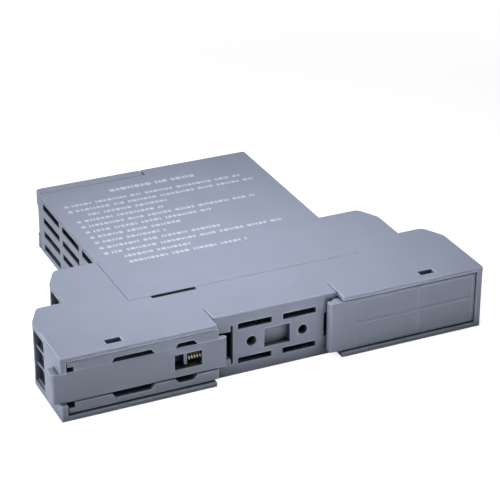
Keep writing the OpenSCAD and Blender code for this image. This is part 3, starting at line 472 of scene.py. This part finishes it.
def coil(low, high):
    """A round wire wound between the ends of the spring's box."""
    middle = (low + high) / 2
    coil_r = (high.z - low.z) / 2 - COIL_WIRE_R
    start = low.x + COIL_WIRE_R
    end = high.x - COIL_WIRE_R
    rings = int(COIL_TURNS * COIL_STEPS)
    bm = bmesh.new()
    rows = []
    for i in range(rings + 1):
        turn = 2 * math.pi * i / COIL_STEPS
        x = start + (end - start) * i / rings
        ring = []
        for k in range(COIL_SIDES):
            around = 2 * math.pi * k / COIL_SIDES
            r = coil_r + COIL_WIRE_R * math.cos(around)
            ring.append(bm.verts.new((
                x + COIL_WIRE_R * math.sin(around),
                middle.y + r * math.cos(turn),
                middle.z + r * math.sin(turn),
            )))
        rows.append(ring)
    for first, second in zip(rows, rows[1:]):
        for k in range(COIL_SIDES):
            n = (k + 1) % COIL_SIDES
            bm.faces.new((first[k], first[n], second[n], second[k]))
    bm.faces.new(reversed(rows[0]))
    bm.faces.new(rows[-1])
    bmesh.ops.recalc_face_normals(bm, faces=bm.faces)
    for face in bm.faces:
        face.smooth = len(face.verts) == 4
    return bm


def make_spring():
    """The smooth coil that stands for the foot's spring."""
    low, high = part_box("foot_spring")
    spring = mesh_piece("spring_coil", coil(low, high), SPRING, "housing")
    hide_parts("foot_spring")
    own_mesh(spring)


def ink_bar(bm, low, high, z, share=INK_ROUND):
    """A thin bar of ink between two corners, rounded by a share of its shorter side."""
    (x0, y0), (x1, y1) = low, high
    r = share * min(x1 - x0, y1 - y0)
    centres = ((x1 - r, y1 - r), (x0 + r, y1 - r), (x0 + r, y0 + r), (x1 - r, y0 + r))
    outline = []
    for quarter, (cx, cy) in enumerate(centres):
        for i in range(INK_STEPS + 1):
            angle = math.pi / 2 * (quarter + i / INK_STEPS)
            outline.append((cx + r * math.cos(angle), cy + r * math.sin(angle)))
    floor = [bm.verts.new((px, py, z)) for px, py in outline]
    top = [bm.verts.new((px, py, z + INK_T)) for px, py in outline]
    bm.faces.new(top)
    bm.faces.new(reversed(floor))
    for k in range(len(outline)):
        n = (k + 1) % len(outline)
        bm.faces.new((floor[k], floor[n], top[n], top[k]))


def ink_row(bm, x0, x1, y, height, z, phase):
    """A row of short bars in groups, from x0 to x1 at most, that starts at a given group and bar."""
    x = x0
    count = phase
    group = phase
    while True:
        for _ in range(INK_GROUPS[group % len(INK_GROUPS)]):
            width = INK_WIDTHS[count % len(INK_WIDTHS)] * height / INK_H
            if x + width > x1:
                return
            ink_bar(bm, (x, y - height / 2), (x + width, y + height / 2), z)
            x += width + INK_GAP
            count += 1
        x += INK_WORD_GAP - INK_GAP
        group += 1


def make_print():
    """A generic block of printed rows on the hood's broad face."""
    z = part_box("hood")[1].z
    bm = bmesh.new()
    ink_row(bm, -TITLE_HALF, TITLE_HALF, TITLE_Y, TITLE_H, z, TITLE_PHASE)
    for row, length in enumerate(INK_ROWS):
        y = INK_TOP_Y - row * INK_PITCH
        left = INK_LEFT
        if row in INK_INDENTED:
            left += INK_INDENT
        else:
            reach = Vector((BULLET_R, BULLET_R))
            dot = Vector((BULLET_X, y))
            ink_bar(bm, dot - reach, dot + reach, z, BULLET_ROUND)
        ink_row(bm, left, left + length * MM, y, INK_H, z, row)
    bmesh.ops.recalc_face_normals(bm, faces=bm.faces)
    mesh_piece("printed_rows", bm, INK, "housing")


def make_camera():
    """The camera at the viewing angle of the picture."""
    data = bpy.data.cameras.new("camera")
    data.sensor_width = SENSOR_WIDTH
    data.lens = LENS
    camera = bpy.data.objects.new("camera", data)
    bpy.context.scene.collection.objects.link(camera)
    back = Vector((
        math.sin(CAMERA_AZIMUTH) * math.cos(CAMERA_ELEVATION),
        -math.cos(CAMERA_AZIMUTH) * math.cos(CAMERA_ELEVATION),
        math.sin(CAMERA_ELEVATION),
    ))
    camera.location = CAMERA_PLACE
    camera.rotation_euler = (-back).to_track_quat("-Z", "Y").to_euler()
    camera.rotation_euler.rotate_axis("Z", CAMERA_ROLL)
    bpy.context.scene.camera = camera


def make_floor():
    """A plain floor that looks white and keeps the part's soft shadow."""
    bm = bmesh.new()
    bmesh.ops.create_grid(bm, x_segments=1, y_segments=1, size=FLOOR_SIZE / 2)
    mesh = bpy.data.meshes.new("floor")
    bm.to_mesh(mesh)
    bm.free()
    mat = bpy.data.materials.new("floor_white")
    mat.use_nodes = True
    tree = mat.node_tree
    shader = tree.nodes["Principled BSDF"]
    shader.inputs["Base Color"].default_value = (FLOOR_SHADE, FLOOR_SHADE, FLOOR_SHADE, 1)
    shader.inputs["Roughness"].default_value = FLOOR_ROUGH
    shader.inputs["Specular IOR Level"].default_value = 0.0
    shader.inputs["Emission Color"].default_value = WHITE
    path = tree.nodes.new("ShaderNodeLightPath")
    place = tree.nodes.new("ShaderNodeTexCoord")
    reach = tree.nodes.new("ShaderNodeVectorMath")
    reach.operation = "LENGTH"
    tree.links.new(place.outputs["Object"], reach.inputs[0])
    glow = add_node(
        tree, "ShaderNodeMapRange",
        From_Min=FLOOR_NEAR, From_Max=FLOOR_FAR, To_Min=FLOOR_GLOW, To_Max=FLOOR_GLOW_FAR
    )
    tree.links.new(reach.outputs["Value"], glow.inputs["Value"])
    seen = math_node(tree, "MULTIPLY", path.outputs["Is Camera Ray"], glow.outputs["Result"])
    tree.links.new(seen, shader.inputs["Emission Strength"])
    mesh.materials.append(mat)
    floor = bpy.data.objects.new("floor", mesh)
    floor.location.z = cad_box[0].z
    bpy.context.scene.collection.objects.link(floor)


def area_light(name, place, target, size, spread, power):
    """A square soft box."""
    data = bpy.data.lights.new(name, "AREA")
    data.size = size
    data.spread = spread
    data.energy = power
    light = bpy.data.objects.new(name, data)
    light.location = place
    light.rotation_euler = (Vector(target) - Vector(place)).to_track_quat("-Z", "Y").to_euler()
    bpy.context.scene.collection.objects.link(light)
    return light


def make_light():
    """Soft boxes above, to the left and over the floor in front, and a sheen along edges, in a dim room."""
    aim = (cad_box[0] + cad_box[1]) / 2
    area_light("key", KEY_PLACE, KEY_AIM, KEY_SIZE, KEY_SPREAD, KEY_POWER)
    area_light("bounce", BOUNCE_PLACE, BOUNCE_AIM, BOUNCE_SIZE, BOUNCE_SPREAD, BOUNCE_POWER)
    area_light("side", SIDE_PLACE, aim, SIDE_SIZE, SIDE_SPREAD, SIDE_POWER)
    area_light("end", END_PLACE, END_AIM, END_SIZE, END_SPREAD, END_POWER)
    sheen = area_light("sheen", SHEEN_PLACE, aim, SHEEN_SIZE, SHEEN_SPREAD, SHEEN_POWER)
    sheen.visible_diffuse = False
    world = bpy.data.worlds.new("studio")
    world.use_nodes = True
    tree = world.node_tree
    background = tree.nodes["Background"]
    background.inputs["Color"].default_value = WHITE
    path = tree.nodes.new("ShaderNodeLightPath")
    strength = add_node(tree, "ShaderNodeMapRange", To_Min=WORLD_LIGHT, To_Max=1.0)
    tree.links.new(path.outputs["Is Camera Ray"], strength.inputs["Value"])
    tree.links.new(strength.outputs["Result"], background.inputs["Strength"])
    bpy.context.scene.world = world
    bpy.context.scene.view_settings.view_transform = "Standard"


for node_name, node_obj in nodes.items():
    dress(node_name, node_obj)
make_spring()
make_print()
make_camera()
make_floor()
make_light()
